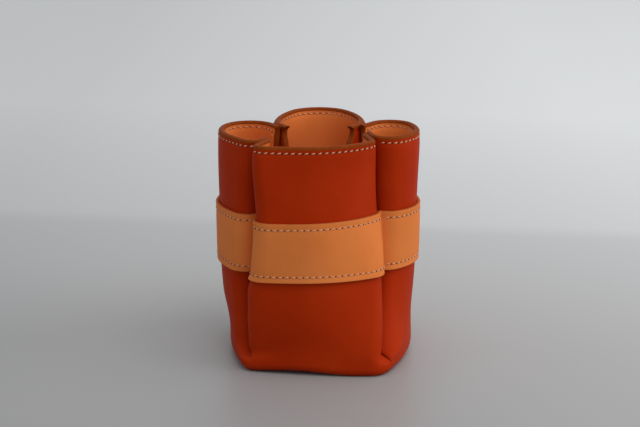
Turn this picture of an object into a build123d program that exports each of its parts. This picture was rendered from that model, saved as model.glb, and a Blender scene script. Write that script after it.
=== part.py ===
"""Leather pencil cup: a lined cross of leather folded up into four curled petals and held by a sewn band."""

import os
from cmath import phase, rect
from dataclasses import dataclass
from itertools import pairwise
from math import acos, asin, pi, radians, sqrt

from build123d import *
from build123d.topology import SkipClean

# Overall form, in millimetres; a span runs from the left petal's crown to the right petal's
cup_height = 105.0
base_span = 88.8
waist_span = 91.4
rim_span = 93.0
corner_height = 8.0
fold_height = 17.0
bottom_edge_radius = 6.0
petal_foot_inset = 0.05

# Leather
outer_thickness = 1.5
lining_thickness = 1.5
glue_gap = 0.2
crease_gap = 0.5

# Band
band_bottom = 44.0
band_width = 27.0
band_thickness = 1.5
band_gap = 0.2
band_run_in = 3.0

# Sewing
thread_width = 0.6
thread_height = 0.35
thread_gap = 0.2
seam_inset = 2.8

# Petals, anticlockwise from above, and the creases on their anticlockwise side, 1, and their clockwise side, -1
petal_creases = {
    "front": {1: "front_right", -1: "front_left"},
    "right": {1: "back_right", -1: "front_right"},
    "back": {1: "back_left", -1: "back_right"},
    "left": {1: "front_left", -1: "back_left"},
}

# Each crease at the fold, the waist and the rim: a point on it, and its heading inwards in degrees
crease_shares = {
    "front_left": ((-0.359, -0.465), (-0.287, -0.327), (-0.310, -0.402)),
    "front_right": ((0.337, -0.443), (0.315, -0.332), (0.274, -0.278)),
    "back_right": ((0.407, 0.447), (0.346, 0.298), (0.266, 0.160)),
    "back_left": ((-0.393, 0.447), (-0.333, 0.298), (-0.248, 0.157)),
}
crease_headings = {
    "front_left": (57.0, 81.4, 63.9),
    "front_right": (117.0, 110.4, 103.8),
    "back_right": (226.0, 232.0, 237.5),
    "back_left": (314.0, 308.0, 299.7),
}

# Each petal's crown, the outermost point of its broad curve, and the way that it faces
crown_shares = {
    "front": ((-0.038, -0.542), (-0.086, -0.544), (-0.049, -0.509)),
    "right": ((0.505, -0.009), (0.499, -0.036), (0.504, -0.015)),
    "back": ((0.007, 0.535), (0.007, 0.538), (0.001, 0.547)),
    "left": ((-0.495, -0.020), (-0.501, -0.011), (-0.496, -0.017)),
}
crown_headings = {
    "front": (270.0, 270.7, 269.6),
    "right": (0.0, 0.0, 1.6),
    "back": (90.0, 90.5, 91.3),
    "left": (180.0, 179.4, 179.8),
}

# From the crown to each crease: crown radius, crown length, flank radius and the radius of the shoulder beside the crease
curve_shares = {
    ("front", 1): ((1.120, 0.090, 0.980, 0.124), (0.434, 0.088, 0.537, 0.092), (0.344, 0.086, 0.442, 0.096)),
    ("front", -1): ((1.760, 0.090, 1.640, 0.124), (1.365, 0.088, 0.923, 0.071), (1.229, 0.086, 1.275, 0.070)),
    ("right", 1): ((0.950, 0.095, 0.880, 0.146), (0.602, 0.092, 0.438, 0.131), (0.442, 0.090, 0.285, 0.124)),
    ("right", -1): ((0.760, 0.120, 0.700, 0.135), (0.295, 0.164, 0.252, 0.071), (0.282, 0.199, 0.312, 0.099)),
    ("back", 1): ((1.420, 0.056, 1.300, 0.146), (0.383, 0.131, 0.875, 0.131), (0.176, 0.186, 0.565, 0.132)),
    ("back", -1): ((1.420, 0.056, 1.300, 0.146), (0.383, 0.131, 0.875, 0.131), (0.173, 0.177, 0.497, 0.132)),
    ("left", 1): ((0.676, 0.135, 0.901, 0.113), (0.438, 0.197, 1.130, 0.071), (0.365, 0.194, 1.113, 0.065)),
    ("left", -1): ((0.950, 0.095, 0.880, 0.146), (0.492, 0.092, 0.328, 0.137), (0.296, 0.090, 0.177, 0.137)),
}

# Flaps: the free edge of each half petal, which lies along its crease
fold_flap = 1.0
rim_flaps = {
    ("front", 1): 12.0,
    ("front", -1): 10.0,
    ("right", 1): 9.0,
    ("right", -1): 7.0,
    ("back", 1): 12.0,
    ("back", -1): 12.0,
    ("left", 1): 5.0,
    ("left", -1): 8.0,
}

# The closed base: four bowed sides and four round corners
side_radius = 150.0
corner_radius = 17.0

# Where the petals' crowns and shoulders stand on the base, and how soon they turn in above it
foot_crown_share = 0.36
foot_shoulder_share = 0.6
foot_ease_share = 0.62

# Heights and depths that follow from the sizes above; a depth is measured inwards from the outer face
band_top = band_bottom + band_width
band_middle = band_bottom + band_width / 2
lining_depth = outer_thickness + glue_gap
wall_depth = lining_depth + lining_thickness
band_depth = -band_gap - band_thickness
seam_height = cup_height - seam_inset
upper_seam = band_top - seam_inset
lower_seam = band_bottom + seam_inset - thread_width

# Levels that the lofts run through
spans = (base_span, waist_span, rim_span)
key_heights = (fold_height, band_middle, cup_height)
knee_height = (corner_height + fold_height) / 2
high_middle = (band_top + cup_height) / 2
band_heights = (band_bottom, band_top)
petal_heights = (fold_height, *band_heights, high_middle, cup_height)


@dataclass
class Half:
    """Half a petal from above: arcs from its crown round to the crease, then a straight flap along the crease.

    Points are complex numbers, X plus Y times 1j. A turn is an angle from the crown's heading towards the crease.
    """

    petal: str
    side: int
    height: float
    out: complex
    inward: complex
    centres: tuple
    radii: tuple
    turns: tuple
    flap: float

    def spot(self, arc, turn, depth):
        return self.centres[arc] + (self.radii[arc] - depth) * self.out * rect(1, self.side * turn)

    def flap_spot(self, distance, depth):
        return self.spot(-1, self.turns[-1], depth) + distance * self.inward

    def clear_turn(self, depth):
        """How far a raised face goes round the shoulder, to stay as clear of the crease as the leather does."""
        return self.turns[-1] - acos(self.radii[-1] / (self.radii[-1] - depth))


def dot(one, two):
    return (one.conjugate() * two).real


def blend(height, values):
    """What lies at a height on the parabola through its values at the fold, the waist and the rim."""
    low, middle, high = key_heights
    weights = (
        (height - middle) * (height - high) / (low - middle) / (low - high),
        (height - low) * (height - high) / (middle - low) / (middle - high),
        (height - low) * (height - middle) / (high - low) / (high - middle),
    )
    return sum(weight * value for weight, value in zip(weights, values))


def placed(height, shares):
    """A point at a height, from its shares of the three spans."""
    return blend(height, [span * complex(*pair) for span, pair in zip(spans, shares)])


def facing(height, headings):
    return rect(1, radians(blend(height, headings)))


def petal_half(height, petal, side):
    """Half a petal where it stands free, from the fold to the rim; its shoulder runs into the crease's plane."""
    crease = petal_creases[petal][side]
    root, inward = placed(height, crease_shares[crease]), facing(height, crease_headings[crease])
    crown, out = placed(height, crown_shares[petal]), facing(height, crown_headings[petal])
    curves = [[span * share for share in shares] for span, shares in zip(spans, curve_shares[petal, side])]
    crown_curve, flank_curve = [blend(height, [1 / curve[column] for curve in curves]) for column in (0, 2)]
    crown_length, shoulder = [blend(height, [curve[column] for curve in curves]) for column in (1, 3)]
    radii = (1 / crown_curve, 1 / flank_curve, shoulder)

    # The shoulder's arc touches the line that lies half the gap from the middle of the crease
    across = side * 1j * inward
    across_turn = side * phase(across / out)
    crown_turn = crown_length * crown_curve
    first = crown - radii[0] * out
    second = first + (radii[0] - radii[1]) * out * rect(1, side * crown_turn)
    reach = shoulder + crease_gap / 2 - dot(second - root, across)
    flank_turn = across_turn + acos(reach / (radii[1] - shoulder))
    third = second + (radii[1] - shoulder) * out * rect(1, side * flank_turn)

    climb = (height - fold_height) / (cup_height - fold_height)
    flap = fold_flap + (rim_flaps[petal, side] - fold_flap) * climb
    turns = (0, crown_turn, flank_turn, across_turn + pi)
    return Half(petal, side, height, out, inward, (first, second, third), radii, turns, flap)


def corner_centre(crease):
    """Middle of the round corner at the foot of a crease, and the crease's way in."""
    inward = facing(fold_height, crease_headings[crease])
    return placed(fold_height, crease_shares[crease]) + corner_radius * inward, inward


def foot_half(petal, side):
    """Half a side of the closed base: a long bow, then round the corner as far as the end of the slit."""
    ends = [corner_centre(crease)[0] for crease in petal_creases[petal].values()]
    corner, inward = corner_centre(petal_creases[petal][side])
    chord = ends[0] - ends[1]
    out = -1j * chord / abs(chord)
    arm = side_radius - corner_radius
    middle = sum(ends) / 2 - sqrt(arm**2 - abs(chord) ** 2 / 4) * out
    bow_turn = asin(abs(chord) / 2 / arm)
    end_turn = side * phase(-inward / out) - asin(crease_gap / 2 / corner_radius)
    shoulder_turn = bow_turn + (end_turn - bow_turn) * foot_shoulder_share
    turns = (0, bow_turn * foot_crown_share, bow_turn, shoulder_turn, end_turn)
    radii = (side_radius, side_radius, corner_radius, corner_radius)
    return Half(petal, side, corner_height, out, inward, (middle, middle, corner, corner), radii, turns, 0)


def lofted(height, petal, side):
    """A half at any height as the lofts have it: the stations below and above, each with its weight."""
    for low, high in pairwise(petal_heights):
        if low <= height <= high:
            weight = (height - low) / (high - low)
            return [(1 - weight, petal_half(low, petal, side)), (weight, petal_half(high, petal, side))]


def flat(spot):
    return (spot.real, spot.imag)


def draw_arcs(mix, depth, stops):
    """A face from the crown round to the last of the stops; gives its end."""
    rows = [(weight, half, stops(half)) for weight, half in mix]
    for arc in range(len(rows[0][2]) - 1):
        spots = []
        for share in (0, 0.5, 1):
            turns = [row[arc] + (row[arc + 1] - row[arc]) * share for _, _, row in rows]
            spots.append(sum(weight * half.spot(arc, turn, depth) for (weight, half, _), turn in zip(rows, turns)))
        ThreePointArc(*map(flat, spots))
    return spots[-1]


def draw_flapped_face(mix, depth, inset=0):
    """A face round to the crease and along the flap, stopping short of its free edge by an inset; gives its end."""
    turned_in = draw_arcs(mix, depth, lambda half: half.turns)
    end = sum(weight * half.flap_spot(half.flap - inset, depth) for weight, half in mix)
    Line(flat(turned_in), flat(end))
    return end


def draw_foot_face(weight, petal, side, depth):
    """A face between the closed base and the fold; gives its end."""
    foot, fold = foot_half(petal, side), petal_half(fold_height, petal, side)
    for arc in range(len(foot.turns) - 1):
        spots = []
        for share in (0, 0.5, 1):
            below = foot.spot(arc, foot.turns[arc] + (foot.turns[arc + 1] - foot.turns[arc]) * share, depth)
            if arc < len(fold.radii):
                above = fold.spot(arc, fold.turns[arc] + (fold.turns[arc + 1] - fold.turns[arc]) * share, depth)
            else:
                above = fold.flap_spot(fold.flap * share, depth)
            spots.append(below + (above - below) * weight)
        ThreePointArc(*map(flat, spots))
    return spots[-1]


def draw_ring(depth):
    """The closed outline of the base, below the slits."""
    bow_ends = {}
    for petal, creases in petal_creases.items():
        bow = {side: foot_half(petal, side) for side in creases}
        ends = {side: half.spot(1, half.turns[2], depth) for side, half in bow.items()}
        ThreePointArc(*map(flat, (ends[-1], bow[1].spot(0, 0, depth), ends[1])))
        for side, crease in creases.items():
            bow_ends.setdefault(crease, []).append(ends[side])
    for crease, (start, stop) in bow_ends.items():
        corner, inward = corner_centre(crease)
        ThreePointArc(*map(flat, (start, corner - (corner_radius - depth) * inward, stop)))


def base_block(depth):
    """The base up to the end of the slits, solid, with its rounded bottom edge."""
    with BuildPart() as block:
        with BuildSketch(Plane.XY.offset(depth)):
            with BuildLine():
                draw_ring(depth)
            make_face()
        extrude(amount=corner_height - depth)
        fillet(block.edges().group_by(Axis.Z)[0], bottom_edge_radius - depth)
    return block.part


def cut_face(height, draw, *sizes):
    """A level cut. Arcs that lie on one circle are kept apart, so that the cuts of a loft match edge for edge."""
    with SkipClean(), BuildLine(Plane.XY.offset(height)) as outline:
        draw(height, *sizes)
    return make_face(outline.edges())


def draw_foot(height, weight, petal, depth, inside):
    """A petal's cut between the closed base and the fold."""
    for side in (1, -1):
        ends = [draw_foot_face(weight, petal, side, face) for face in (depth, inside)]
        Line(*map(flat, ends))


def draw_petal(height, petal, depth, inside):
    """A petal's cut where it stands free."""
    for side in (1, -1):
        ends = [draw_flapped_face([(1, petal_half(height, petal, side))], face) for face in (depth, inside)]
        Line(*map(flat, ends))


def leather_cross(depth, thickness):
    """One layer of leather, folded up: a shallow base with four petals standing on its edge."""
    inside = depth + thickness
    stacks = []
    for petal in petal_creases:
        foot_faces = (depth + petal_foot_inset, inside - petal_foot_inset)
        foot = cut_face(corner_height, draw_foot, 0, petal, *foot_faces)
        knee = cut_face(knee_height, draw_foot, foot_ease_share, petal, depth, inside)
        cuts = [cut_face(height, draw_petal, petal, depth, inside) for height in petal_heights]
        stacks += [[foot, knee, cuts[0]], cuts]
    with BuildPart() as cross:
        add(base_block(depth))
        add(base_block(inside), mode=Mode.SUBTRACT)
        for cuts in stacks:
            loft(cuts, ruled=True)
    return cross.part


def depth_in(half, spot):
    """How far along the crease a point lies."""
    return dot(spot, half.inward)


def across_crease(half):
    """The neighbour's half on the other side of the crease."""
    names = list(petal_creases)
    neighbour = names[(names.index(half.petal) + half.side) % len(names)]
    return petal_half(half.height, neighbour, -half.side)


def turns_in_first(half):
    """Whether this half's shoulder lies nearer to the mouth of the crease than the neighbour's."""
    other = across_crease(half)
    return (depth_in(half, half.centres[-1]), half.side) < (depth_in(half, other.centres[-1]), other.side)


def band_ends_at(half):
    """Whether the strap's ends lie in this half's crease."""
    return petal_creases[half.petal][half.side] == "back_left"


def band_meeting_turn(half):
    """On the shoulder that turns in last: where its outer face meets the strap that comes straight in along the other."""
    shoulder = half.radii[-1]
    return half.turns[-1] - acos((shoulder + crease_gap + band_depth) / (shoulder - band_depth))


def band_meeting(half):
    """The deepest point of the band's outer face in this half's crease."""
    last = across_crease(half) if turns_in_first(half) else half
    return last.spot(-1, band_meeting_turn(last), band_depth)


def band_web_depth(half):
    """How far along the crease the band's inner face goes, which leaves a web as thick as the strap."""
    first = half if turns_in_first(half) else across_crease(half)
    return max(depth_in(half, band_meeting(half)), depth_in(half, first.centres[-1])) + band_thickness


def band_outer_stops(half):
    """How far the outer face follows the petal: where it turns in first it then runs straight to the meeting point."""
    shoulder = half.radii[-1] - band_depth
    if band_ends_at(half):
        turn = half.clear_turn(band_depth)
    elif turns_in_first(half):
        centre = depth_in(half, half.centres[-1])
        lead = max(centre - depth_in(half, band_meeting(half)), 0) + band_run_in
        turn = half.turns[-1] - asin(lead / shoulder)
    else:
        turn = band_meeting_turn(half)
    return (*half.turns[:-1], turn)


def band_inner_stops(half):
    """How far the inner face follows the petal into the crease."""
    if band_ends_at(half):
        turn = half.clear_turn(band_depth)
    else:
        lead = max(depth_in(half, half.centres[-1]) - band_web_depth(half), 0)
        turn = half.turns[-1] - asin(lead / (half.radii[-1] + band_gap))
    return (*half.turns[:-1], turn)


def band_seam_stops(half):
    """A seam on the band stops short of where the band's outer face leaves the petal."""
    *turns, last = band_outer_stops(half)
    return (*turns, last - band_run_in / (half.radii[-1] - band_depth))


def rim_seam_stops(half):
    """The seam under the rim stops where its thread would meet the neighbour's."""
    return (*half.turns[:-1], half.clear_turn(-thread_gap - thread_height))


def draw_band(height):
    """The strap from above: round all four petals, with its two ends in the back left crease."""
    inner_ends = {}
    for petal, creases in petal_creases.items():
        for side, crease in creases.items():
            half = petal_half(height, petal, side)
            outer_end = draw_arcs([(1, half)], band_depth, band_outer_stops)
            inner_end = draw_arcs([(1, half)], -band_gap, band_inner_stops)
            if band_ends_at(half):
                Line(flat(outer_end), flat(inner_end))
                continue
            if turns_in_first(half):
                Line(flat(outer_end), flat(band_meeting(half)))
                web_end = inner_end + (band_web_depth(half) - depth_in(half, inner_end)) * half.inward
                Line(flat(inner_end), flat(web_end))
                inner_end = web_end
            inner_ends.setdefault(crease, []).append(flat(inner_end))
    for ends in inner_ends.values():
        Line(*ends)


def draw_strand(height, petal, near, far, stops):
    """A thread along an outer face, from above."""
    for side in (1, -1):
        mix = lofted(height, petal, side)
        Line(*[flat(draw_arcs(mix, depth, stops)) for depth in (near, far)])


def draw_lining_strand(height, petal, near, far):
    """A thread along the lining, from above, out to the ones that run down beside the free edges."""
    for side in (1, -1):
        mix = lofted(height, petal, side)
        Line(*[flat(draw_flapped_face(mix, depth, seam_inset)) for depth in (near, far)])


def draw_upright(height, petal, side, near, far):
    """Cut through a thread that runs down the lining beside a free edge."""
    corners = []
    for inset, depth in ((0, near), (thread_width, near), (thread_width, far), (0, far)):
        mix = lofted(height, petal, side)
        spots = [weight * half.flap_spot(half.flap - seam_inset - inset, depth) for weight, half in mix]
        corners.append(flat(sum(spots)))
    Polyline(*corners, close=True)


def seam(height, draw, *sizes):
    """The two levels of a thread that lies round a petal."""
    return [cut_face(level, draw, *sizes) for level in (height, height + thread_width)]


def outer_seam(petal, height, carrier_depth, stops):
    near = carrier_depth - thread_gap
    return seam(height, draw_strand, petal, near, near - thread_height, stops)


def thread_piece(*stacks):
    with BuildPart() as thread:
        for cuts in stacks:
            loft(cuts, ruled=True)
    return thread.part


def edge_thread(petal):
    """The thread under the rim, on both faces, and down the lining along the two free edges."""
    faces = (wall_depth + thread_gap, wall_depth + thread_gap + thread_height)
    stacks = [outer_seam(petal, seam_height, 0, rim_seam_stops), seam(seam_height, draw_lining_strand, petal, *faces)]
    for side in (1, -1):
        levels = (band_top, high_middle, seam_height - thread_gap)
        stacks.append([cut_face(level, draw_upright, petal, side, *faces) for level in levels])
    return thread_piece(*stacks)


def save(piece, name):
    piece.label = name
    export_step(piece, f"parts/{name}.step")


os.makedirs("parts", exist_ok=True)

# Leather layers
save(leather_cross(0, outer_thickness), "outer_leather")
save(leather_cross(lining_depth, lining_thickness), "lining")

# Band
band_cuts = [cut_face(band_height, draw_band) for band_height in band_heights]
with BuildPart() as band:
    loft(band_cuts, ruled=True)
save(band.part, "band")

# Threads
for petal_name in petal_creases:
    save(edge_thread(petal_name), f"edge_thread_{petal_name}")
    upper_cuts = outer_seam(petal_name, upper_seam, band_depth, band_seam_stops)
    lower_cuts = outer_seam(petal_name, lower_seam, band_depth, band_seam_stops)
    save(thread_piece(upper_cuts), f"band_upper_thread_{petal_name}")
    save(thread_piece(lower_cuts), f"band_lower_thread_{petal_name}")
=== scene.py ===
from functools import cache
from math import acos, atan2, cos, pi, radians, sin, sqrt, tau

import bmesh
import bpy
import numpy as np
from mathutils import Matrix, Vector


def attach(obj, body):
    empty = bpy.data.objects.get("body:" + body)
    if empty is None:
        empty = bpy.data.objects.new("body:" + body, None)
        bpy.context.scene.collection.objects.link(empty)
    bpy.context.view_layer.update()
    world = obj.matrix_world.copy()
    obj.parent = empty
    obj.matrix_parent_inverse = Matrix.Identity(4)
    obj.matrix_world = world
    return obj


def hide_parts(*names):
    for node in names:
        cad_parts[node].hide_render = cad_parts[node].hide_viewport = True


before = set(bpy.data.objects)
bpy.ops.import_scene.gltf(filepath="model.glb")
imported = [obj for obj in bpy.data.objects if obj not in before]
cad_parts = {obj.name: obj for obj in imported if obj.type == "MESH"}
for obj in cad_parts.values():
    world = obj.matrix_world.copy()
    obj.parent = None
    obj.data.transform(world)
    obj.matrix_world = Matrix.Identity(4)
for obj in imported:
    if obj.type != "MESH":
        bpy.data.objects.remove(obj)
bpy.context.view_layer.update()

MM = 0.001

# The cup in millimetres: X to the right, Y away from the viewer, Z up
CUP_HEIGHT = 105.0
CORNER_HEIGHT = 5.0
FOLD_HEIGHT = 17.0
BAND_BOTTOM = 44.0
BAND_TOP = 71.0
CREASE_GAP = 0.3
PLAN_SHIFT = (0.6, 2.2)

# Layers: thicknesses and gaps, and depths into the wall from the petals' outer face
LEATHER = 1.5
GLUE_GAP = 0.06
LINING_DEPTH = LEATHER + GLUE_GAP
WALL_DEPTH = LINING_DEPTH + LEATHER
BAND_LEATHER = 1.5
BAND_GAP = 0.15
BAND_DEPTH = -BAND_GAP - BAND_LEATHER

# Rounded edges; a free edge's bevel grows above the fold and takes at most a share of the column beside it
RIM_ROUND = 1.4
RIM_STEPS = 5
FREE_EDGE_BEVEL = 0.95
FREE_EDGE_FADE = (17.0, 40.0)
COLUMN_SHARE = 0.85
BAND_BEVEL = 0.7
MERGE_DISTANCE = 0.02

# Seams: single stitches, each with a dark bead in the hole where it ends, painted shade of the hole; half
# sizes are along, across and out
SEAM_INSET = 2.8
RIM_SEAM = CUP_HEIGHT - SEAM_INSET
BAND_SEAMS = {"upper": BAND_TOP - SEAM_INSET, "lower": BAND_BOTTOM + SEAM_INSET}
STITCH_PITCH = 3.0
STITCH_SLANT = radians(17)
STITCH_HALF_SIZES = (0.9, 0.31, 0.26)
STITCH_SINK = 0.06
STITCH_DIVE = 0.3
STITCH_PROBE = 0.5
HOLE_SHADE_HALF_SIZES = (0.36, 0.34, 0.14)
HOLE_SHADE_SINK = 0.1
DIVE_POWER = 2.2
BEAD_TIP = 0.06
SEAM_PULL = 0.22
SEAM_PULL_REACH = 1.1

# Room left at the ends of the seams; the stitches down a free edge start so many pitches below the rim's
RIM_TRIM = 0.5
BAND_TRIM = 1.6
FREE_EDGE_STITCHES = 18
FIRST_PITCH = 0.8
LEAST_FLAP = SEAM_INSET + 0.6

# Three key sections, at the fold, in the band and at the rim; the others lie on a parabola through them
KEY_HEIGHTS = (FOLD_HEIGHT, (BAND_BOTTOM + BAND_TOP) / 2, CUP_HEIGHT)

# Creases: a point on each and the heading of its way in, in degrees
CREASES = {
    "front_left": ((-32.0, -43.0, 57.0), (-26.8, -32.1, 81.4), (-29.4, -39.6, 63.9)),
    "front_right": ((29.2, -44.0, 122.0), (28.2, -32.5, 110.4), (24.9, -28.1, 103.8)),
    "back_right": ((35.5, 37.5, 226.0), (31.0, 25.0, 232.0), (24.1, 12.7, 237.5)),
    "back_left": ((-35.5, 37.5, 314.0), (-31.0, 25.0, 308.0), (-23.7, 12.4, 299.7)),
}

# Below the band the front left crease swells to the left, by these amounts at these heights
SWELL_HEIGHTS = (8.0, 12.0, 17.0, 20.0, 30.0, 40.0, 44.0, 46.5)
SWELLS = (7.0, 5.6, 3.3, 2.4, 1.4, 2.0, 0.6, 0.0)

# Petals, anticlockwise: the crease that each half runs to, anticlockwise half first
PETALS = {
    "front": ("front_right", "front_left"),
    "right": ("back_right", "front_right"),
    "back": ("back_left", "back_right"),
    "left": ("front_left", "back_left"),
}

# The outermost point of each petal and the heading of its face there
CROWNS = {
    "front": ((-2.0, -51.3, 264.5), (-8.5, -51.9, 270.7), (-5.2, -49.5, 269.6)),
    "right": ((43.2, -3.0, 0.0), (45.0, -5.5, 0.0), (46.3, -3.6, 1.6)),
    "back": ((0.0, 45.3, 90.0), (0.0, 47.0, 90.5), (-0.5, 48.7, 91.3)),
    "left": ((-43.9, -4.0, 180.0), (-46.4, -3.2, 179.4), (-46.7, -3.8, 179.8)),
}

# Each half, 1 for the anticlockwise one: crown radius and length, flank radius, shoulder radius
HALVES = {
    ("front", 1): ((150.0, 8.0, 120.0, 6.5), (39.7, 8.0, 49.1, 8.4), (32.0, 8.0, 41.1, 8.9)),
    ("front", -1): ((170.0, 8.0, 150.0, 6.5), (124.8, 8.0, 84.4, 6.5), (114.3, 8.0, 118.6, 6.5)),
    ("right", 1): ((84.4, 8.4, 78.1, 13.0), (55.0, 8.4, 40.0, 12.0), (41.1, 8.4, 26.5, 11.5)),
    ("right", -1): ((67.5, 10.7, 62.2, 7.0), (27.0, 15.0, 23.0, 6.5), (26.2, 18.5, 29.0, 9.2)),
    ("back", 1): ((126.0, 5.0, 115.4, 13.0), (35.0, 12.0, 80.0, 12.0), (16.4, 17.3, 52.5, 12.3)),
    ("back", -1): ((126.0, 5.0, 115.4, 13.0), (35.0, 12.0, 80.0, 12.0), (16.1, 16.5, 46.2, 12.3)),
    ("left", 1): ((60.0, 12.0, 80.0, 6.5), (40.0, 18.0, 103.3, 6.5), (33.9, 18.0, 103.5, 6.0)),
    ("left", -1): ((84.4, 8.4, 78.1, 13.0), (45.0, 8.4, 30.0, 12.5), (27.5, 8.4, 16.5, 12.7)),
}

# Length of the flap that lies in the crease, at the rim; it starts small at the fold
FOLD_FLAP = 1.0
FLAPS = {
    ("front", 1): 12.0, ("front", -1): 1.5, ("right", 1): 9.0, ("right", -1): 7.0,
    ("back", 1): 6.5, ("back", -1): 6.5, ("left", 1): 5.0, ("left", -1): 8.0,
}

# The back petal's flaps are cut back at the rim: they grow by this much below it and taper off again
FLAP_GROWTHS = {("back", 1): 9.5, ("back", -1): 14.0}
FLAP_CUT = 14.0
FLAP_TAPER = (20.0, 90.0)

# The base: a round corner at the foot of each crease, as centre, radius and the heading of the crease's foot
CORNERS = {
    "front_left": (-27.4, -36.8, 9.0, 237.0),
    "front_right": (22.6, -42.0, 11.0, 334.0),
    "back_right": (23.7, 25.3, 17.0, 46.0),
    "back_left": (-23.7, 25.3, 17.0, 134.0),
}

# Between its corners the base's sides are bows of these radii; the flaps' points take a share of the corner
BOWS = {"front": 190.0, "right": 115.0, "back": 150.0, "left": 150.0}
RING_NOSE_SHARE = 0.4

# The bottom edge is rounded less at the front than at the sides, by the Y part of the direction it faces
FRONT_BOTTOM_RADIUS = 3.6
SIDE_BOTTOM_RADIUS = 4.8
FRONT_TO_SIDE = (-0.95, -0.1)
BOTTOM_EDGE_STEPS = 8

# The flat of the base shrinks towards a small copy of its outline
CORE_SHARE = 0.25
BASE_SHARES = (0.75, 0.5, 0.25, 0.0)

# Below the knee the petals' own sections stay as they are there
KNEE_HEIGHT = 8.5

# Above the base its outline turns into the petals', soon beside the creases and slowly across the broad faces
CREASE_RISES = {"front_left": 11.0, "front_right": 11.0, "back_right": 21.0, "back_left": 21.0}
BROAD_RISE = 30.0
BROAD_POINTS = 3

# The base's front edge lifts a little between its corners, more the further it stands to the front
LIFT = 1.5
LIFT_CENTRE = -11.0
LIFT_REACH = 27.0
LIFT_FRONT = (20.0, 46.0)
LIFT_HEIGHT = 16.0

# Slow unevenness of soft leather: two waves, as size, height per radian and radians across half a petal
BROAD_WAVE = (0.45, 17.0, 2.3)
FINE_WAVE = (0.25, 9.5, 3.1)
PETAL_PHASE = 1.7
WAVE_RISE = (4.0, 26.0)
WAVE_FALL = (96.0, 105.0)

# Points on a half: crown, flank, shoulder, flap; those hidden in the crease have no stitches outside
COUNTS = (5, 9, 14, 6)
HIDDEN_POINTS = COUNTS[3] + 5
HALF_WIDTH = sum(COUNTS)
ROW_WIDTH = 2 * HALF_WIDTH + 1

# Heights of the rows of points, close together at the foot, beside the seams and round the rim
FOOT_ROWS = (
    CORNER_HEIGHT, 5.5, 6.1, 6.8, 7.6, 8.5, 9.6, 11.0, 12.8, 14.8, FOLD_HEIGHT, 18.8, 20.8, 23.0, 25.4, 27.8
)
WALL_ROWS = tuple(np.linspace(30.4, 98.0, 26))
SEAM_ROWS = (99.6, 100.6, 101.2, 101.7, 102.2, 102.7, 103.2)
RIM_ROWS = tuple(CUP_HEIGHT - RIM_ROUND * (1 - sin(pi / 2 * k / RIM_STEPS)) for k in range(RIM_STEPS + 1))
ROWS = FOOT_ROWS + WALL_ROWS + SEAM_ROWS + RIM_ROWS
RIM_ROW = len(ROWS) - len(RIM_ROWS)
TOP_ROW = len(ROWS) - 1
BAND_ROWS = (
    BAND_BOTTOM, 44.7, 45.4, 46.2, 47.0, 48.0,
    *np.linspace(50.5, 64.5, 7),
    67.0, 68.0, 68.8, 69.6, 70.3, BAND_TOP,
)

# The band's outline is drawn fine and far into the creases, cut where two petals meet, and spaced evenly
BAND_COUNTS = (30, 60, 140, 30)
BAND_RUN = 18.0
BAND_STEPS = 36
BAND_ROUTE = ("left", "front", "right", "back")
NEARLY_PARALLEL = 1e-12

# Material slots: leather and its cut edge, or thread and the painted shade of the hole it goes into
FACE_SLOT, EDGE_SLOT = 0, 1
THREAD_SLOT, HOLE_SHADE_SLOT = 0, 1


def at_height(z, keys):
    """A set of values at one height, on the parabola through the three keys."""
    a, b, c = KEY_HEIGHTS
    shares = (
        (z - b) * (z - c) / ((a - b) * (a - c)),
        (z - a) * (z - c) / ((b - a) * (b - c)),
        (z - a) * (z - b) / ((c - a) * (c - b)),
    )
    return [sum(share * value for share, value in zip(shares, values)) for values in zip(*keys)]


def smooth(value, low, high):
    """A share that eases from 0 at the low end to 1 at the high end."""
    share = min(max((value - low) / (high - low), 0.0), 1.0)
    return share * share * (3 - 2 * share)


def crease_of(petal, side):
    return PETALS[petal][0 if side > 0 else 1]


class Arcs:
    """Half a petal at one height, as arcs of growing heading round three centres."""

    def __init__(self, petal, side, z):
        x, y, face = at_height(z, CROWNS[petal])
        keys = [(1 / r1, length, 1 / r2, rs) for r1, length, r2, rs in HALVES[(petal, side)]]
        crown, length, flank, shoulder = at_height(z, keys)
        self.radii = (1 / crown, 1 / flank, shoulder)
        face = radians(face)
        self.out = np.array((cos(face), sin(face)))
        self.along = np.array((-sin(face), cos(face))) * side
        crease = crease_of(petal, side)
        px, py, heading = at_height(z, CREASES[crease])
        if crease == "front_left":
            px -= np.interp(z, SWELL_HEIGHTS, SWELLS)
        heading = radians(heading)
        self.inward = np.array((cos(heading), sin(heading)))
        across = np.array((-self.inward[1], self.inward[0]))
        point = np.array((px, py))
        apex = np.array((x, y))
        if (apex - point) @ across < 0:
            across = -across
        self.across = across
        first = apex - self.radii[0] * self.out
        turn_1 = length / self.radii[0]
        second = first + (self.radii[0] - self.radii[1]) * self.ray(turn_1)
        base = atan2(self.along @ across, self.out @ across)
        reach = shoulder + CREASE_GAP / 2 - (second - point) @ across
        turn_2 = base + acos(reach / (self.radii[1] - shoulder))
        third = second + (self.radii[1] - shoulder) * self.ray(turn_2)
        self.centres = (first, second, third)
        self.turns = (0.0, turn_1, turn_2, base + pi)
        self.turned_in = third @ self.inward

    def ray(self, turn):
        return self.out * cos(turn) + self.along * sin(turn)

    def points(self, depth, counts, run):
        """Points from the crown into the crease and along it for a run, and the outward direction at each."""
        spots, normals = [], []
        for i, (centre, radius) in enumerate(zip(self.centres, self.radii)):
            for step in range(1 if i else 0, counts[i] + 1):
                turn = self.turns[i] + (self.turns[i + 1] - self.turns[i]) * step / counts[i]
                normals.append(self.ray(turn))
                spots.append(centre + (radius - depth) * normals[-1])
        shoulder_end = spots[-1]
        for step in range(1, counts[3] + 1):
            spots.append(shoulder_end + self.inward * run * step / counts[3])
            normals.append(-self.across)
        return np.array(spots), np.array(normals)


arcs_at = cache(Arcs)


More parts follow.
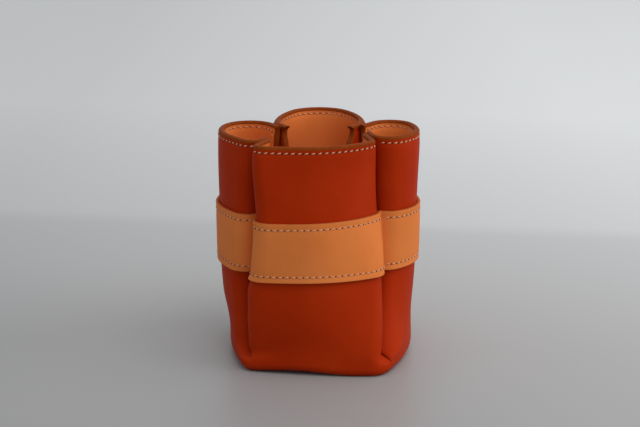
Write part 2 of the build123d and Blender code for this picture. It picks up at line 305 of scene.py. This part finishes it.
@cache
def flap_at(petal, side, z):
    """The length of a flap at one height, always enough to reach past the neighbour's shoulder."""
    names = list(PETALS)
    neighbour = names[(names.index(petal) + side) % 4]
    half, other = arcs_at(petal, side, z), arcs_at(neighbour, -side, z)
    climb = max(z - FOLD_HEIGHT, 0) / (CUP_HEIGHT - FOLD_HEIGHT)
    flap = FOLD_FLAP + (FLAPS[(petal, side)] - FOLD_FLAP) * climb
    growth = FLAP_GROWTHS.get((petal, side), 0)
    flap += growth * smooth(CUP_HEIGHT - z, 0, FLAP_CUT) * smooth(z, *FLAP_TAPER)
    return max(flap, other.turned_in - half.turned_in + FOLD_FLAP)


def ring_half(petal, side, depth):
    """Half a side of the base, point for point like a half petal, but round its corner, not into a crease."""
    ends = [np.array(CORNERS[name][:2]) for name in PETALS[petal]]
    x, y, radius, heading = CORNERS[crease_of(petal, side)]
    corner = np.array((x, y))
    bow = BOWS[petal]
    arms = [bow - CORNERS[name][2] for name in PETALS[petal]]
    span = ends[1] - ends[0]
    gap = np.linalg.norm(span)
    span = span / gap
    foot = (arms[0] ** 2 - arms[1] ** 2 + gap**2) / (2 * gap)
    out = np.array((-span[1], span[0]))
    centre = ends[0] + span * foot - out * sqrt(arms[0] ** 2 - foot**2)
    along = -span * side
    reach = corner - centre
    turn_2 = atan2(reach @ along, reach @ out)
    nose = np.array((cos(radians(heading)), sin(radians(heading))))
    turn_4 = atan2(nose @ along, nose @ out)
    turn_3 = turn_2 + (turn_4 - turn_2) * (1 - RING_NOSE_SHARE)
    turn_1 = turn_2 * (COUNTS[0] / (COUNTS[0] + COUNTS[1]))
    spots, normals = [], []

    def arc(origin, radius, start, stop, count, first):
        for step in range(first, count + 1):
            turn = start + (stop - start) * step / count
            normals.append(out * cos(turn) + along * sin(turn))
            spots.append(origin + (radius - depth) * normals[-1])

    arc(centre, bow, 0, turn_1, COUNTS[0], 0)
    arc(centre, bow, turn_1, turn_2, COUNTS[1], 1)
    arc(corner, radius, turn_2, turn_3, COUNTS[2], 1)
    arc(corner, radius, turn_3, turn_4, COUNTS[3], 1)
    return np.array(spots), np.array(normals)


def rise_shares(petal, side, z):
    """How far each point of a half has turned from the base's outline into the petal's at one height."""
    crease_rise = CREASE_RISES[crease_of(petal, side)]
    shares = []
    for i in range(HALF_WIDTH + 1):
        rise = BROAD_RISE + (crease_rise - BROAD_RISE) * smooth(i, BROAD_POINTS, COUNTS[0] + COUNTS[1])
        shares.append(smooth(z, CORNER_HEIGHT, rise))
    return np.array(shares)[:, None]


def petal_row(petal, z, depth):
    """One row of a petal's face, from the end of its clockwise flap to the end of the other."""
    halves = []
    for side in (-1, 1):
        height = max(z, KNEE_HEIGHT)
        spots, normals = arcs_at(petal, side, height).points(depth, COUNTS, flap_at(petal, side, height))
        if z < BROAD_RISE:
            low, low_normals = ring_half(petal, side, depth)
            shares = rise_shares(petal, side, z)
            spots = low + (spots - low) * shares
            normals = low_normals + (normals - low_normals) * shares
        halves.append((spots, normals))
    spots = np.concatenate((halves[0][0][::-1], halves[1][0][1:]))
    normals = np.concatenate((halves[0][1][::-1], halves[1][1][1:]))
    return spots, normals / np.linalg.norm(normals, axis=1)[:, None]


def place(x, y, z):
    return ((x + PLAN_SHIFT[0]) * MM, (y + PLAN_SHIFT[1]) * MM, z * MM)


def seam_dip(z, seam):
    """How far a row of stitches pulls the leather in."""
    away = (z - seam) / SEAM_PULL_REACH
    return SEAM_PULL / (1 + away**4)


def rim_round(z):
    """How far the burnished rim is rounded off at one height."""
    rise = min(max(z - CUP_HEIGHT + RIM_ROUND, 0.0), RIM_ROUND)
    return RIM_ROUND - sqrt(RIM_ROUND**2 - rise**2)


def hand_swell(petal, position, z):
    """Slow unevenness of soft leather, in millimetres: zero in the creases."""
    phase = list(PETALS).index(petal) * PETAL_PHASE
    calm = max(0.0, 1 - abs(position) ** 3)
    size, rise, turn = BROAD_WAVE
    wave = size * sin(z / rise + phase) * cos(position * turn + phase)
    size, rise, turn = FINE_WAVE
    wave += size * sin(z / rise + 2 * phase + position * turn)
    return wave * calm * smooth(z, *WAVE_RISE) * (1 - smooth(z, *WAVE_FALL))


def bottom_lift(x, y, z):
    """The base rests on its corners, and its front edge lifts a little between them."""
    front = smooth(-y, *LIFT_FRONT)
    bow = 1 - smooth(abs(x - LIFT_CENTRE), 0, LIFT_REACH)
    return LIFT * front * bow * (1 - smooth(z, 0, LIFT_HEIGHT))


def new_object(name, mesh_data, materials):
    mesh_data.normal_update()
    mesh = bpy.data.meshes.new(name)
    mesh_data.to_mesh(mesh)
    mesh_data.free()
    for material in materials:
        mesh.materials.append(material)
    for polygon in mesh.polygons:
        polygon.use_smooth = True
    piece = bpy.data.objects.new(name, mesh)
    bpy.context.scene.collection.objects.link(piece)
    return piece


def round_edges(piece, width, segments):
    """Rounds the edges that have a bevel weight, in the cut edge's material."""
    bevel = piece.modifiers.new("rounded_edge", "BEVEL")
    bevel.width = width * MM
    bevel.segments = segments
    bevel.limit_method = "WEIGHT"
    bevel.material = EDGE_SLOT
    return bevel


def petal_faces(cup, depth, pull):
    """The petals' faces at one depth; on the face that shows, pull is the way into the leather, 1 or -1."""
    verts = {}
    for p, petal in enumerate(PETALS):
        for row, z in enumerate(ROWS):
            inset = pull * (seam_dip(z, RIM_SEAM) + rim_round(z))
            spots, normals = petal_row(petal, z, depth)
            for i, (spot, normal) in enumerate(zip(spots, normals)):
                if row == 0 and i == ROW_WIDTH - 1:
                    continue
                position = (i - HALF_WIDTH) / HALF_WIDTH
                x, y = spot + normal * (hand_swell(petal, position, z) - inset)
                verts[p, row, i] = cup.verts.new(place(x, y, z + bottom_lift(x, y, z)))
    for p in range(4):
        verts[p, 0, ROW_WIDTH - 1] = verts[(p + 1) % 4, 0, 0]
    for p in range(4):
        for row in range(TOP_ROW):
            for i in range(ROW_WIDTH - 1):
                corners = ((row, i), (row, i + 1), (row + 1, i + 1), (row + 1, i))
                face = cup.faces.new([verts[(p, *corner)] for corner in corners])
                face.material_index = EDGE_SLOT if pull and row >= RIM_ROW else FACE_SLOT
    return verts


def ring_faces(cup, loop, ring):
    """A strip of faces from one closed loop of points to the next one in."""
    for i in range(len(loop)):
        j = (i + 1) % len(loop)
        cup.faces.new([ring[i], ring[j], loop[j], loop[i]])


def base_faces(cup, depth, loop):
    """The rounded bottom edge, from the petals' lowest points, and the flat of the base inside it."""
    outline, normals = [], []
    for petal in PETALS:
        first, second = ring_half(petal, -1, 0), ring_half(petal, 1, 0)
        outline += list(first[0][::-1]) + list(second[0][1:-1])
        normals += list(first[1][::-1]) + list(second[1][1:-1])
    for step in range(BOTTOM_EDGE_STEPS + 1):
        angle = pi / 2 * step / BOTTOM_EDGE_STEPS
        ring = []
        for spot, normal in zip(outline, normals):
            sideways = smooth(normal[1], *FRONT_TO_SIDE)
            turn = FRONT_BOTTOM_RADIUS + (SIDE_BOTTOM_RADIUS - FRONT_BOTTOM_RADIUS) * sideways
            x, y = spot - normal * (depth + (turn - depth) * (1 - cos(angle)))
            z = turn - (turn - depth) * sin(angle)
            ring.append(cup.verts.new(place(x, y, z + bottom_lift(*spot, z))))
        ring_faces(cup, loop, ring)
        loop = ring
    border = [vert.co.copy() for vert in loop]
    for share in BASE_SHARES:
        ring = []
        for co, spot in zip(border, outline):
            x, y, _ = Vector(place(*(spot * CORE_SHARE), 0)).lerp(co, share)
            ring.append(cup.verts.new((x, y, depth * MM + (co.z - depth * MM) * share**2)))
        ring_faces(cup, loop, ring)
        loop = ring
    centre = cup.verts.new(place(0, 0, depth))
    for i in range(len(loop)):
        cup.faces.new([centre, loop[(i + 1) % len(loop)], loop[i]])


def leather_layer(name, depths, shown, materials):
    """One cross of leather, folded up: two faces, base, rim and free edges; shown is the face in view."""
    cup = bmesh.new()
    weight = cup.edges.layers.float.new("bevel_weight_edge")
    sides = []
    for k, depth in enumerate(depths):
        pull = (1, -1)[k] if k == shown else 0
        verts = petal_faces(cup, depth, pull)
        base_faces(cup, depth, [verts[p, 0, i] for p in range(4) for i in range(ROW_WIDTH - 1)])
        sides.append(verts)
    border = [(row, 0) for row in range(TOP_ROW)] + [(TOP_ROW, i) for i in range(ROW_WIDTH)]
    border += [(row, ROW_WIDTH - 1) for row in range(TOP_ROW - 1, -1, -1)]
    for p, petal in enumerate(PETALS):
        for (r1, i1), (r2, i2) in zip(border, border[1:]):
            quad = [sides[0][p, r1, i1], sides[0][p, r2, i2], sides[1][p, r2, i2], sides[1][p, r1, i1]]
            cup.faces.new(quad).material_index = EDGE_SLOT
            low = min(r1, r2)
            if r1 != r2 and low < RIM_ROW:
                column = flap_at(petal, 1 if i1 else -1, ROWS[low]) / COUNTS[3]
                edge = cup.edges.get((sides[shown][p, r1, i1], sides[shown][p, r2, i2]))
                room = min(1.0, COLUMN_SHARE * column / FREE_EDGE_BEVEL)
                edge[weight] = smooth(ROWS[low], *FREE_EDGE_FADE) * room
    bmesh.ops.recalc_face_normals(cup, faces=cup.faces)
    piece = new_object(name, cup, materials)
    round_edges(piece, FREE_EDGE_BEVEL, segments=4).use_clamp_overlap = False
    return piece


def crossing(one, two):
    """Where two outlines first cross: how far along each, in steps."""
    p, r = one[:-1], one[1:] - one[:-1]
    q, s = two[:-1], two[1:] - two[:-1]
    cross = r[:, None, 0] * s[None, :, 1] - r[:, None, 1] * s[None, :, 0]
    cross = np.where(np.abs(cross) < NEARLY_PARALLEL, NEARLY_PARALLEL, cross)
    d = q[None] - p[:, None]
    t = (d[..., 0] * s[None, :, 1] - d[..., 1] * s[None, :, 0]) / cross
    u = (d[..., 0] * r[:, None, 1] - d[..., 1] * r[:, None, 0]) / cross
    hits = np.argwhere((t >= 0) & (t <= 1) & (u >= 0) & (u <= 1))
    i, j = hits[0]
    return i + t[i, j], j + u[i, j]


def distances(points):
    """How far along an outline each of its points lies."""
    return np.concatenate(([0], np.cumsum(np.hypot(*(points[1:] - points[:-1]).T))))


def columns_at(wanted, steps, values):
    """Both parts of a row of plan values at the wanted steps, straight between the given ones."""
    return np.stack([np.interp(wanted, steps, values[:, k]) for k in (0, 1)], axis=-1)


def cut_even(spots, normals, stop):
    """Evenly spaced points on an outline up to a stop, given in steps, and their directions."""
    steps = distances(spots)
    end = np.interp(stop, np.arange(len(spots)), steps)
    wanted = np.linspace(0, end, BAND_STEPS + 1)
    rays = columns_at(wanted, steps, normals)
    return columns_at(wanted, steps, spots), rays / np.linalg.norm(rays, axis=1)[:, None]


@cache
def band_halves(z):
    """The band over each half petal at one height: outer points, inner points and directions."""
    halves = {}
    for crease in CREASES:
        users = [(p, 1 if PETALS[p][0] == crease else -1) for p in PETALS if crease in PETALS[p]]
        arcs = {u: arcs_at(*u, z) for u in users}
        outer = {u: arcs[u].points(BAND_DEPTH, BAND_COUNTS, BAND_RUN) for u in users}
        inner = {u: arcs[u].points(-BAND_GAP, BAND_COUNTS, BAND_RUN) for u in users}
        stops = dict(zip(users, crossing(outer[users[0]][0], outer[users[1]][0])))
        for u in users:
            spots = outer[u][0]
            vertex = columns_at(stops[u], np.arange(len(spots)), spots)
            goal = vertex @ arcs[u].inward + BAND_LEATHER
            back = inner[u][0] @ arcs[u].inward
            tail = np.arange(len(back))[len(back) // 2:]
            past = tail[back[tail] >= goal]
            stop = past[0] if len(past) else len(back) - 1
            points, rays = cut_even(*outer[u], stops[u])
            halves[u] = (points, cut_even(*inner[u], stop)[0], rays)
    return halves


def band_row(petal, z, layer):
    """One row of the band over a petal, on its outer or inner face, and the direction out at each point."""
    halves = band_halves(z)
    back, ahead = halves[petal, -1], halves[petal, 1]
    points = np.concatenate((back[layer][::-1], ahead[layer][1:]))
    return points, np.concatenate((back[2][::-1], ahead[2][1:]))


def band_piece(name, materials):
    """The strap round the petals: outer face, inner face and four edges, its ends in the back left crease."""
    strap = bmesh.new()
    weight = strap.edges.layers.float.new("bevel_weight_edge")
    grids = ([], [])
    for z in BAND_ROWS:
        dip = sum(seam_dip(z, seam) for seam in BAND_SEAMS.values())
        for layer, grid in enumerate(grids):
            line = []
            for petal in BAND_ROUTE:
                for i, (spot, ray) in enumerate(zip(*band_row(petal, z, layer))):
                    position = (i - BAND_STEPS) / BAND_STEPS
                    shift = hand_swell(petal, position, z) - (dip if layer == 0 else 0)
                    line.append(strap.verts.new(place(*(spot + ray * shift), z)))
            grid.append(line)
    last = len(BAND_ROWS) - 1
    span = len(grids[0][0])
    for grid in grids:
        for row in range(last):
            for i in range(span - 1):
                strap.faces.new([grid[row][i], grid[row][i + 1], grid[row + 1][i + 1], grid[row + 1][i]])
    outer, inner = grids
    for row in (0, last):
        for i in range(span - 1):
            face = strap.faces.new([outer[row][i], outer[row][i + 1], inner[row][i + 1], inner[row][i]])
            face.material_index = EDGE_SLOT
            strap.edges.get((outer[row][i], outer[row][i + 1]))[weight] = 1.0
    for i in (0, span - 1):
        for row in range(last):
            face = strap.faces.new([outer[row][i], outer[row + 1][i], inner[row + 1][i], inner[row][i]])
            face.material_index = EDGE_SLOT
    bmesh.ops.remove_doubles(strap, verts=strap.verts, dist=MERGE_DISTANCE * MM)
    bmesh.ops.recalc_face_normals(strap, faces=strap.faces)
    piece = new_object(name, strap, materials)
    round_edges(piece, BAND_BEVEL, segments=3)
    return piece


def add_bead(mesh_data, centre, axes, steps, sides, power, dive, slot):
    """A closed bead along the first axis, its half sizes given by the three axes; its ends may dive."""
    run, across, out = axes
    rings = []
    for step in range(steps + 1):
        s = -1 + 2 * step / steps
        girth = sqrt(max(0.0, 1 - abs(s) ** power)) * (1 - BEAD_TIP) + BEAD_TIP
        spot = centre + run * s - out.normalized() * (dive * abs(s) ** DIVE_POWER)
        turns = [tau * k / sides for k in range(sides)]
        rings.append([mesh_data.verts.new(spot + (across * cos(t) + out * sin(t)) * girth) for t in turns])
    for low, high in zip(rings, rings[1:]):
        for k in range(sides):
            face = mesh_data.faces.new([low[k], low[(k + 1) % sides], high[(k + 1) % sides], high[k]])
            face.material_index = slot
    mesh_data.faces.new(rings[0][::-1]).material_index = slot
    mesh_data.faces.new(rings[-1]).material_index = slot


def bead_axes(run, out, half_sizes):
    return [axis * (size * MM) for axis, size in zip((run, out.cross(run), out), half_sizes)]


def add_stitch(mesh_data, centre, run, out, slant):
    """One slanting stitch, whose ends dive into the leather, and a dark bead of painted shade in the hole
    where it ends.
    """
    centre, run, out = Vector(centre), Vector(run).normalized(), Vector(out).normalized()
    hole = centre + run * (STITCH_PITCH / 2 * MM) - out * (HOLE_SHADE_SINK * MM)
    axes = bead_axes(run, out, HOLE_SHADE_HALF_SIZES)
    add_bead(mesh_data, hole, axes, steps=4, sides=7, power=2.0, dive=0.0, slot=HOLE_SHADE_SLOT)
    run = Matrix.Rotation(slant, 3, out) @ run
    axes = bead_axes(run, out, STITCH_HALF_SIZES)
    add_bead(mesh_data, centre, axes, steps=6, sides=8, power=3.0, dive=STITCH_DIVE * MM, slot=THREAD_SLOT)


def level_seam(mesh_data, petal, z, points, normals, face_out, trim):
    """Stitches along one row of points, evenly spaced from end to end; face_out is -1 on the lining."""
    steps = distances(points)
    length = steps[-1]
    count = max(1, round((length - 2 * trim) / STITCH_PITCH))
    for k in range(count):
        distance = trim + (length - 2 * trim) * (k + 0.5) / count
        ray = columns_at(distance, steps, normals)
        ray = ray / np.linalg.norm(ray)
        ahead = columns_at(distance + STITCH_PROBE, steps, points)
        behind = columns_at(distance - STITCH_PROBE, steps, points)
        shift = hand_swell(petal, distance / length * 2 - 1, z)
        x, y = columns_at(distance, steps, points) + ray * (shift - face_out * STITCH_SINK)
        run = (*(ahead - behind), 0)
        out = (*(ray * face_out), 0)
        add_stitch(mesh_data, place(x, y, z), run, out, face_out * STITCH_SLANT)


def edge_thread(petal, materials):
    """Stitches under the rim on both faces, and down the lining beside the two free edges."""
    seam = bmesh.new()
    points, normals = petal_row(petal, RIM_SEAM, 0)
    in_view = slice(HIDDEN_POINTS, -HIDDEN_POINTS)
    level_seam(seam, petal, RIM_SEAM, points[in_view], normals[in_view], 1, RIM_TRIM)
    points, normals = petal_row(petal, RIM_SEAM, WALL_DEPTH)
    level_seam(seam, petal, RIM_SEAM, points, normals, -1, SEAM_INSET)
    for side, end, before in ((-1, 0, 1), (1, -1, -2)):
        for k in range(FREE_EDGE_STITCHES):
            z = RIM_SEAM - STITCH_PITCH * (k + FIRST_PITCH)
            if flap_at(petal, side, z) < LEAST_FLAP:
                continue
            points, normals = petal_row(petal, z, WALL_DEPTH)
            inward = points[end] - points[before]
            inward = inward / np.linalg.norm(inward)
            x, y = points[end] - inward * SEAM_INSET + normals[end] * STITCH_SINK
            add_stitch(seam, place(x, y, z), (0, 0, 1), (*-normals[end], 0), STITCH_SLANT)
    return new_object(f"stitches_edge_{petal}", seam, materials)


def band_thread(petal, level, materials):
    """One row of stitches on the band over one petal."""
    seam = bmesh.new()
    z = BAND_SEAMS[level]
    level_seam(seam, petal, z, *band_row(petal, z, 0), 1, BAND_TRIM)
    return new_object(f"stitches_band_{level}_{petal}", seam, materials)


class Nodes:
    """A material's node tree with short calls."""

    def __init__(self, name):
        self.material = bpy.data.materials.new(name)
        self.material.use_nodes = True
        self.tree = self.material.node_tree
        self.shader = self.tree.nodes["Principled BSDF"]

    def add(self, kind, **sockets):
        node = self.tree.nodes.new(kind)
        for key, value in sockets.items():
            key = key.replace("_", " ")
            if hasattr(value, "is_output"):
                self.tree.links.new(value, node.inputs[key])
            else:
                node.inputs[key].default_value = value
        return node

    def vector_math(self, operation, value):
        node = self.tree.nodes.new("ShaderNodeVectorMath")
        node.operation = operation
        self.tree.links.new(value, node.inputs["Vector"])
        return node

    def ramp(self, value, *stops):
        node = self.tree.nodes.new("ShaderNodeValToRGB")
        self.tree.links.new(value, node.inputs["Fac"])
        while len(node.color_ramp.elements) < len(stops):
            node.color_ramp.elements.new(0.5)
        for element, (position, color) in zip(node.color_ramp.elements, stops):
            element.position = position
            element.color = (*color, 1.0)
        return node.outputs["Color"]

    def bump(self, height, strength, distance, **sockets):
        node = self.add("ShaderNodeBump", Height=height, Strength=strength, Distance=distance, **sockets)
        return node.outputs["Normal"]

    def link(self, value, socket):
        self.tree.links.new(value, self.shader.inputs[socket])

    def gloss(self, value, low, high):
        spread = self.add("ShaderNodeMapRange", Value=value, To_Min=low, To_Max=high)
        self.link(spread.outputs["Result"], "Roughness")

    def specular(self, level):
        self.shader.inputs["Specular IOR Level"].default_value = level


LEATHER_SPECULAR = 0.03


def leather_material(name, dark, middle, light, roughness, grain):
    nodes = Nodes(name)
    where = nodes.add("ShaderNodeTexCoord").outputs["Object"]
    cloud = nodes.add("ShaderNodeTexNoise", Vector=where, Scale=38.0, Detail=5.0, Roughness=0.55)
    nodes.link(nodes.ramp(cloud.outputs["Fac"], (0.28, dark), (0.5, middle), (0.74, light)), "Base Color")
    pores = nodes.add("ShaderNodeTexVoronoi", Vector=where, Scale=1500.0)
    fine = nodes.add("ShaderNodeTexNoise", Vector=where, Scale=900.0, Detail=6.0, Roughness=0.6)
    nodes.gloss(fine.outputs["Fac"], roughness - 0.07, roughness + 0.09)
    wrinkles = nodes.add("ShaderNodeTexNoise", Vector=where, Scale=160.0, Detail=8.0, Roughness=0.62)
    low = nodes.bump(wrinkles.outputs["Fac"], 0.12, 0.0006)
    middle_bump = nodes.bump(fine.outputs["Fac"], grain, 0.00015, Normal=low)
    nodes.link(nodes.bump(pores.outputs["Distance"], grain * 0.8, 0.0001, Normal=middle_bump), "Normal")
    nodes.specular(LEATHER_SPECULAR)
    return nodes.material


def edge_material(name, dark, light):
    nodes = Nodes(name)
    where = nodes.add("ShaderNodeTexCoord").outputs["Object"]
    streak = nodes.add("ShaderNodeTexNoise", Vector=where, Scale=420.0, Detail=6.0, Roughness=0.7)
    nodes.link(nodes.ramp(streak.outputs["Fac"], (0.3, dark), (0.7, light)), "Base Color")
    nodes.gloss(streak.outputs["Fac"], 0.42, 0.62)
    nodes.link(nodes.bump(streak.outputs["Fac"], 0.25, 0.0002), "Normal")
    nodes.specular(LEATHER_SPECULAR)
    return nodes.material


def thread_material(name, dark, light):
    nodes = Nodes(name)
    where = nodes.add("ShaderNodeTexCoord").outputs["Object"]
    twist = nodes.add("ShaderNodeTexWave", Vector=where, Scale=520.0, Distortion=1.5, Detail=2.0)
    nodes.link(nodes.ramp(twist.outputs["Fac"], (0.1, dark), (0.7, light)), "Base Color")
    nodes.link(nodes.bump(twist.outputs["Fac"], 0.4, 0.0001), "Normal")
    nodes.gloss(twist.outputs["Fac"], 0.5, 0.7)
    return nodes.material


# Dark, middle and light tones of each leather
RED = ((0.39, 0.0235, 0.0018), (0.42, 0.0275, 0.0024), (0.45, 0.032, 0.003))
LINING_TAN = ((0.74, 0.2, 0.045), (0.79, 0.222, 0.054), (0.84, 0.243, 0.065))
BAND_TAN = ((0.71, 0.195, 0.045), (0.75, 0.212, 0.052), (0.79, 0.23, 0.06))
red = leather_material("red_leather", *RED, 0.5, 0.1)
tan = leather_material("tan_lining", *LINING_TAN, 0.55, 0.1)
strap_tan = leather_material("tan_band", *BAND_TAN, 0.52, 0.08)
brown_edge = edge_material("burnished_edge", (0.19, 0.033, 0.003), (0.28, 0.054, 0.006))
band_edge = edge_material("band_edge", (0.48, 0.125, 0.03), (0.62, 0.17, 0.045))
thread = thread_material("waxed_thread", (0.52, 0.26, 0.14), (0.74, 0.42, 0.26))
# Painted shade: the awl holes are dark beads standing in for the shade inside each hole
painted_hole_shade = edge_material("painted_hole_shade", (0.08, 0.014, 0.004), (0.14, 0.026, 0.008))


def settle(piece, node):
    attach(piece, "root")
    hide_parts(node)


red_cross = leather_layer("red_cross", (0, LEATHER), 0, (red, brown_edge))
settle(red_cross, "outer_leather")
tan_cross = leather_layer("tan_cross", (LINING_DEPTH, WALL_DEPTH), 1, (tan, brown_edge))
settle(tan_cross, "lining")
settle(band_piece("tan_strap", (strap_tan, band_edge)), "band")
for petal in PETALS:
    settle(edge_thread(petal, (thread, painted_hole_shade)), f"edge_thread_{petal}")
    for row in BAND_SEAMS:
        settle(band_thread(petal, row, (thread, painted_hole_shade)), f"band_{row}_thread_{petal}")

# Floor: pale paper with painted falloff of the window light: painted shade darkens it towards the front and
# to the left, and beyond a soft line behind the cup it turns lighter, painted light in place of a lit wall
FLOOR_TONES_WITH_PAINTED_FALLOFF = (
    (0.0, (0.3, 0.295, 0.292)),
    (0.3, (0.4, 0.397, 0.395)),
    (0.52, (0.52, 0.52, 0.52)),
    (0.545, (0.6, 0.604, 0.607)),
    (0.9, (0.77, 0.775, 0.78)),
)
FLOOR_SLOPE = (0.14, 1.0, 0.0)
sheet = bmesh.new()
rows = [[sheet.verts.new((x, y, 0)) for x in np.linspace(-3, 3, 13)] for y in np.linspace(-3, 4, 15)]
for low, high in zip(rows, rows[1:]):
    for i in range(len(low) - 1):
        sheet.faces.new([low[i], low[i + 1], high[i + 1], high[i]])
paper = Nodes("pale_paper_painted_falloff")
where = paper.add("ShaderNodeTexCoord").outputs["Object"]
slope = paper.vector_math("DOT_PRODUCT", where)
slope.inputs[1].default_value = FLOOR_SLOPE
level = paper.add("ShaderNodeMapRange", Value=slope.outputs["Value"], From_Min=-0.3, From_Max=0.7)
painted_falloff_tone = paper.ramp(level.outputs["Result"], *FLOOR_TONES_WITH_PAINTED_FALLOFF)
across = paper.add("ShaderNodeSeparateXYZ", Vector=where).outputs["X"]
# Painted shade: the paper darkens to the left, away from the window
side = paper.add("ShaderNodeMapRange", Value=across, From_Min=-0.2, From_Max=0.2, To_Min=0.82, To_Max=1.08)
shade = paper.vector_math("SCALE", painted_falloff_tone)
paper.tree.links.new(side.outputs["Result"], shade.inputs["Scale"])
paper.link(shade.outputs["Vector"], "Base Color")
paper.shader.inputs["Roughness"].default_value = 0.42
floor = new_object("floor", sheet, (paper.material,))


# Lights: a window to the right, a glow on the paper behind the cup and a soft sky above the front
def area_light(name, spot, target, size, power, color):
    data = bpy.data.lights.new(name, "AREA")
    data.shape = "RECTANGLE"
    data.size, data.size_y = size
    data.energy = power
    data.color = color
    lamp = bpy.data.objects.new(name, data)
    lamp.location = spot
    lamp.rotation_euler = (Vector(target) - Vector(spot)).to_track_quat("-Z", "Y").to_euler()
    bpy.context.scene.collection.objects.link(lamp)


area_light("window", (1.3, -0.15, 0.6), (0, 0, 0.06), (1.1, 1.0), 6.6, (1.0, 0.99, 0.975))
area_light("backdrop", (0.1, 1.35, 1.3), (0, 1.15, 0), (2.2, 0.9), 5.6, (1.0, 1.0, 1.0))
area_light("sky", (0.5, -0.72, 1.4), (0, 0.1, 0.1), (1.1, 1.1), 8.0, (0.97, 0.985, 1.0))
world = bpy.data.worlds.new("room_light")
world.use_nodes = True
background = world.node_tree.nodes["Background"]
background.inputs["Color"].default_value = (0.86, 0.88, 0.9, 1.0)
background.inputs["Strength"].default_value = 0.58
bpy.context.scene.world = world
bpy.context.scene.view_settings.view_transform = "Standard"

# Camera: elevation, distance and lens estimated from the photograph; the aim stands below the middle
ELEVATION = radians(14.5)
DISTANCE = 0.9
AIM = (0.23, -5.5, 52.5)
FOCAL_PIXELS = 1926.0
IMAGE_WIDTH = 640.0
SENSOR_WIDTH = 36.0
PIXELS_BELOW_MIDDLE = 25.0
sight = Vector((0, cos(ELEVATION), -sin(ELEVATION)))
camera_data = bpy.data.cameras.new("camera")
camera_data.sensor_width = SENSOR_WIDTH
camera_data.lens = FOCAL_PIXELS * SENSOR_WIDTH / IMAGE_WIDTH
camera_data.clip_start = 0.05
camera = bpy.data.objects.new("camera", camera_data)
camera.location = Vector(place(*AIM)) - sight * DISTANCE
tilt = atan2(PIXELS_BELOW_MIDDLE, FOCAL_PIXELS)
camera.rotation_euler = (pi / 2 - ELEVATION + tilt, 0, 0)
bpy.context.scene.collection.objects.link(camera)
bpy.context.scene.camera = camera
